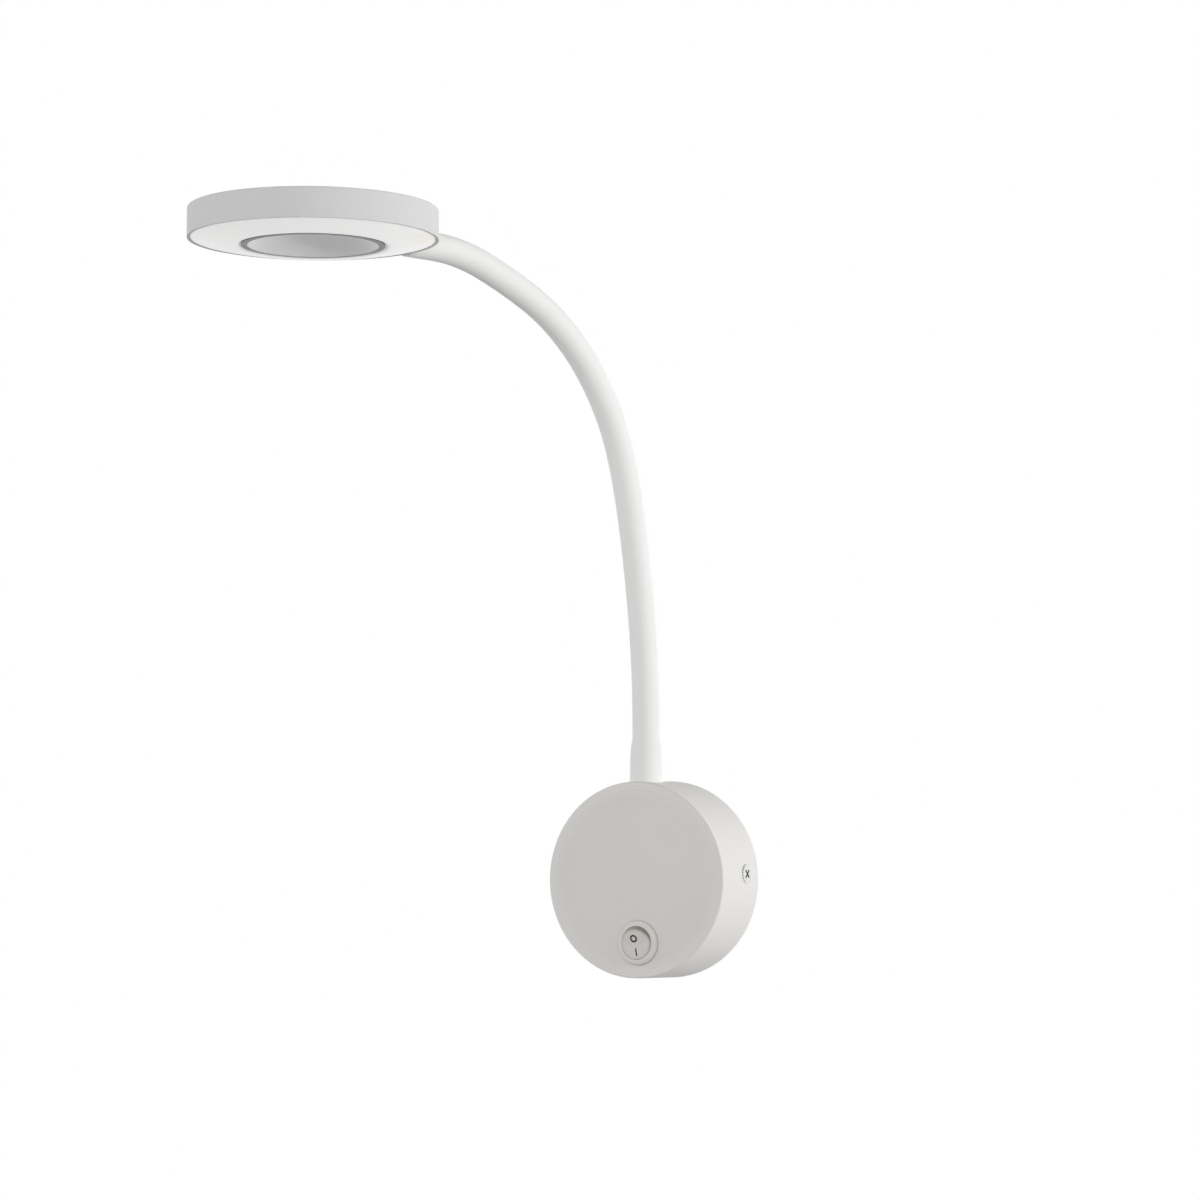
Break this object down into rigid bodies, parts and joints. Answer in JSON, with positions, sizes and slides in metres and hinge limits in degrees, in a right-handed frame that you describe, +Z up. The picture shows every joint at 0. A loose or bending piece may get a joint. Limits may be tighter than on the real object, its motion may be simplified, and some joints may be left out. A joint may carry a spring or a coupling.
{
  "type": "gooseneck wall lamp",
  "caption": "Wall reading lamp with a round drum base, a rocker switch, a sleeved flexible neck and a flat disc head with an opal light ring around a concave dish.",
  "frame": {"origin": "middle of the wall plate's back face, midway between its two wall screw holes", "axes": "+Y into the wall, -Y out into the room, +X to the right as seen from the room, +Z up"},
  "size_m": [0.177, 0.3011, 0.3689],
  "materials": {
    "paint_white": "fine matt powder coat",
    "silicone_white": "smooth matt silicone",
    "opal_white": "opal, satin",
    "dish_grey": "satin silver-grey",
    "trim_grey": "dark satin",
    "zinc": "bright zinc plate",
    "spring_steel": "drawn wire",
    "brass": "plain",
    "nylon_white": "moulded",
    "switch_white": "moulded, low gloss",
    "rubber_black": "soft",
    "wire_black": "insulated wire",
    "lead_white": "insulated lead",
    "foam_grey": "self-adhesive foam",
    "board_white": "white solder mask",
    "led_yellow": "phosphor"
  },
  "bodies": {
    "base": {"base_housing": "paint_white", "wall_plate": "zinc", "cable_bush": "rubber_black", "lock_screw_right": "zinc", "lock_screw_left": "zinc", "terminal_block": "nylon_white", "led_driver": "nylon_white", "driver_pad": "foam_grey", "base_wires": "wire_black", "switch_body": "switch_white", "switch_terminals": "brass", "root_ferrule": "zinc", "root_washer": "spring_steel", "root_nut": "zinc", "root_coil": "spring_steel", "root_sleeve": "silicone_white", "neck_lead": "lead_white"},
    "rocker": {"switch_rocker": "switch_white", "switch_plunger": "brass"},
    "lever": {"switch_lever": "brass"},
    "neck_1": {"neck_sleeve_1": "silicone_white", "neck_coil_1": "spring_steel"},
    "neck_2": {"neck_sleeve_2": "silicone_white", "neck_coil_2": "spring_steel"},
    "neck_3": {"neck_sleeve_3": "silicone_white", "neck_coil_3": "spring_steel"},
    "neck_4": {"neck_sleeve_4": "silicone_white", "neck_coil_4": "spring_steel"},
    "neck_5": {"neck_sleeve_5": "silicone_white", "neck_coil_5": "spring_steel"},
    "neck_6": {"neck_sleeve_6": "silicone_white", "neck_coil_6": "spring_steel"},
    "neck_7": {"neck_sleeve_7": "silicone_white", "neck_coil_7": "spring_steel"},
    "neck_8": {"neck_sleeve_8": "silicone_white", "neck_coil_8": "spring_steel"},
    "neck_9": {"neck_sleeve_9": "silicone_white", "neck_coil_9": "spring_steel"},
    "head": {"head_sleeve": "silicone_white", "head_ferrule": "zinc", "head_nut": "zinc", "head_housing": "paint_white", "led_board": "board_white", "led_chips": "led_yellow", "light_ring": "opal_white", "centre_dish": "dish_grey", "trim_ring": "trim_grey"}
  },
  "joints": [
    {"name": "neck_sway_1", "type": "hinge", "parent": "base", "child": "neck_1", "pos_m": [0, -0.0268, 0.07829], "axis": [-0.2924, -0.9563, 0], "range_deg": [-18, 18], "deforming": ["neck_lead"]},
    {"name": "neck_bend_2", "type": "hinge", "parent": "neck_1", "child": "neck_2", "pos_m": [-0.00035, -0.02795, 0.11276], "axis": [0.9563, -0.2924, 0], "range_deg": [-7, 20]},
    {"name": "neck_sway_3", "type": "hinge", "parent": "neck_2", "child": "neck_3", "pos_m": [-0.00136, -0.03126, 0.14709], "axis": [-0.2899, -0.9481, -0.1305], "range_deg": [-20, 20]},
    {"name": "neck_bend_4", "type": "hinge", "parent": "neck_3", "child": "neck_4", "pos_m": [-0.0029, -0.03627, 0.18118], "axis": [0.9563, -0.2924, 0], "range_deg": [-10, 20]},
    {"name": "neck_sway_5", "type": "hinge", "parent": "neck_4", "child": "neck_5", "pos_m": [-0.00521, -0.04383, 0.21475], "axis": [-0.2803, -0.9169, -0.284], "range_deg": [-20, 20]},
    {"name": "neck_bend_6", "type": "hinge", "parent": "neck_5", "child": "neck_6", "pos_m": [-0.00938, -0.05747, 0.24604], "axis": [0.9563, -0.2924, 0], "range_deg": [-28, 16]},
    {"name": "neck_sway_7", "type": "hinge", "parent": "neck_6", "child": "neck_7", "pos_m": [-0.01587, -0.07872, 0.27229], "axis": [-0.1956, -0.6399, -0.7431], "range_deg": [-20, 20]},
    {"name": "neck_bend_8", "type": "hinge", "parent": "neck_7", "child": "neck_8", "pos_m": [-0.02425, -0.10613, 0.29126], "axis": [0.9563, -0.2924, 0], "range_deg": [-23, 18]},
    {"name": "neck_sway_9", "type": "hinge", "parent": "neck_8", "child": "neck_9", "pos_m": [-0.03362, -0.13676, 0.30404], "axis": [-0.0928, -0.3034, -0.9483], "range_deg": [-22, 22]},
    {"name": "neck_bend_10", "type": "hinge", "parent": "neck_9", "child": "head", "pos_m": [-0.04353, -0.16918, 0.30956], "axis": [0.9563, -0.2924, 0], "range_deg": [-25, 25]},
    {"name": "switch_rock", "type": "hinge", "parent": "base", "child": "rocker", "pos_m": [0.0017, -0.0394, -0.032], "axis": [0.989, 0, 0.1478], "range_deg": [-20, 0]},
    {"name": "switch_tip", "type": "hinge", "parent": "base", "child": "lever", "pos_m": [0.0017, -0.0304, -0.032], "axis": [0.989, 0, 0.1478], "range_deg": [0, 12]}
  ],
  "couplings": [
    {"joint": "switch_tip", "follows": "switch_rock", "ratio": -0.6}
  ]
}
